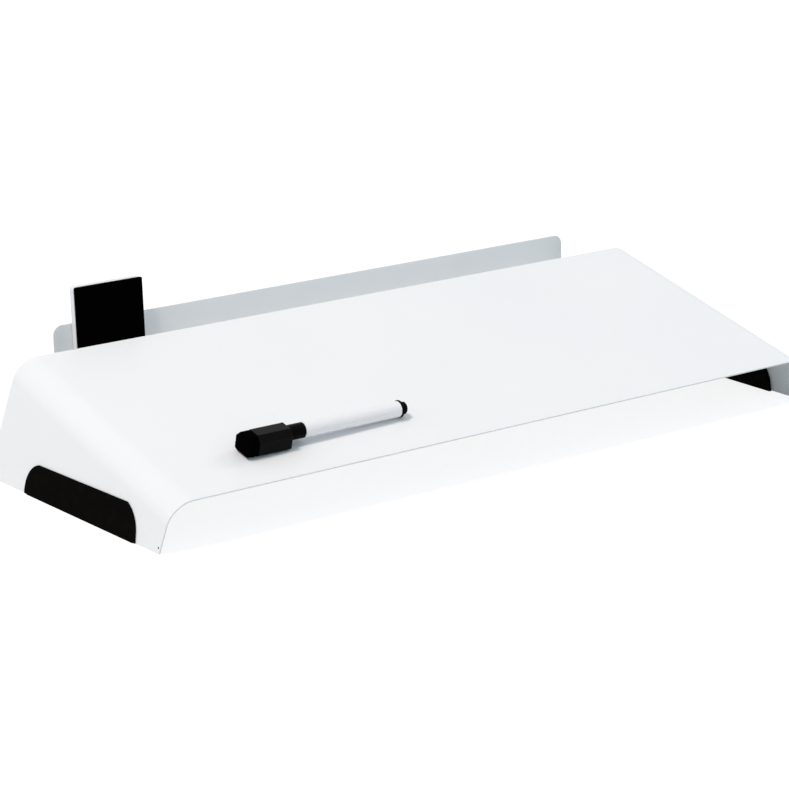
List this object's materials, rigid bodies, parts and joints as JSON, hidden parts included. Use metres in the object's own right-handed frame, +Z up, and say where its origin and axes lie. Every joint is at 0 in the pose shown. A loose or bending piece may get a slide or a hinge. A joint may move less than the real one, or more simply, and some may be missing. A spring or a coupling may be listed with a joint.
{
  "type": "desktop whiteboard",
  "caption": "Sloped desktop whiteboard bent from steel sheet, with splayed side legs on rubber feet, a folded rear tray, a magnetic eraser and a capped mini marker.",
  "frame": {"origin": "centre of the footprint at table height", "axes": "+X along the board's width, +Y from the low front edge towards the tray, +Z up"},
  "size_m": [0.5182, 0.2146, 0.1146],
  "materials": {
    "white_coat": "gloss white coat on steel",
    "left_foot_rubber": "matt black",
    "right_foot_rubber": "matt black",
    "eraser_plastic": "light grey, satin",
    "eraser_black_felt": "black felt",
    "left_disc_magnet": "dark grey",
    "right_disc_magnet": "dark grey",
    "cap_plastic": "black, satin gloss",
    "bar_magnet": "dark grey",
    "cap_black_felt": "black felt",
    "section_plastic": "black, satin gloss",
    "barrel_plastic": "white, gloss",
    "plug_plastic": "black, satin gloss",
    "ink_fibre": "pale fibre",
    "nib_fibre": "black fibre"
  },
  "bodies": {
    "board": {"board_sheet": "white_coat", "foot_left": "left_foot_rubber", "foot_right": "right_foot_rubber"},
    "eraser": {"eraser_body": "eraser_plastic", "eraser_felt": "eraser_black_felt", "eraser_magnet_left": "left_disc_magnet", "eraser_magnet_right": "right_disc_magnet"},
    "marker": {"marker_section": "section_plastic", "marker_barrel": "barrel_plastic", "marker_end_plug": "plug_plastic", "marker_reservoir": "ink_fibre", "marker_nib": "nib_fibre"},
    "cap": {"marker_cap": "cap_plastic", "cap_magnet": "bar_magnet", "cap_felt": "cap_black_felt"}
  },
  "joints": [
    {"name": "eraser_lift", "type": "slide", "parent": "board", "child": "eraser", "axis": [0, 0, 1], "range_m": [0, 0.06]},
    {"name": "marker_lift", "type": "slide", "parent": "board", "child": "marker", "axis": [0, -0.2561, 0.9666], "range_m": [0, 0.1]},
    {"name": "cap_pull", "type": "slide", "parent": "marker", "child": "cap", "axis": [-0.9992, -0.0363, 0.0146], "range_m": [0, 0.03]}
  ]
}
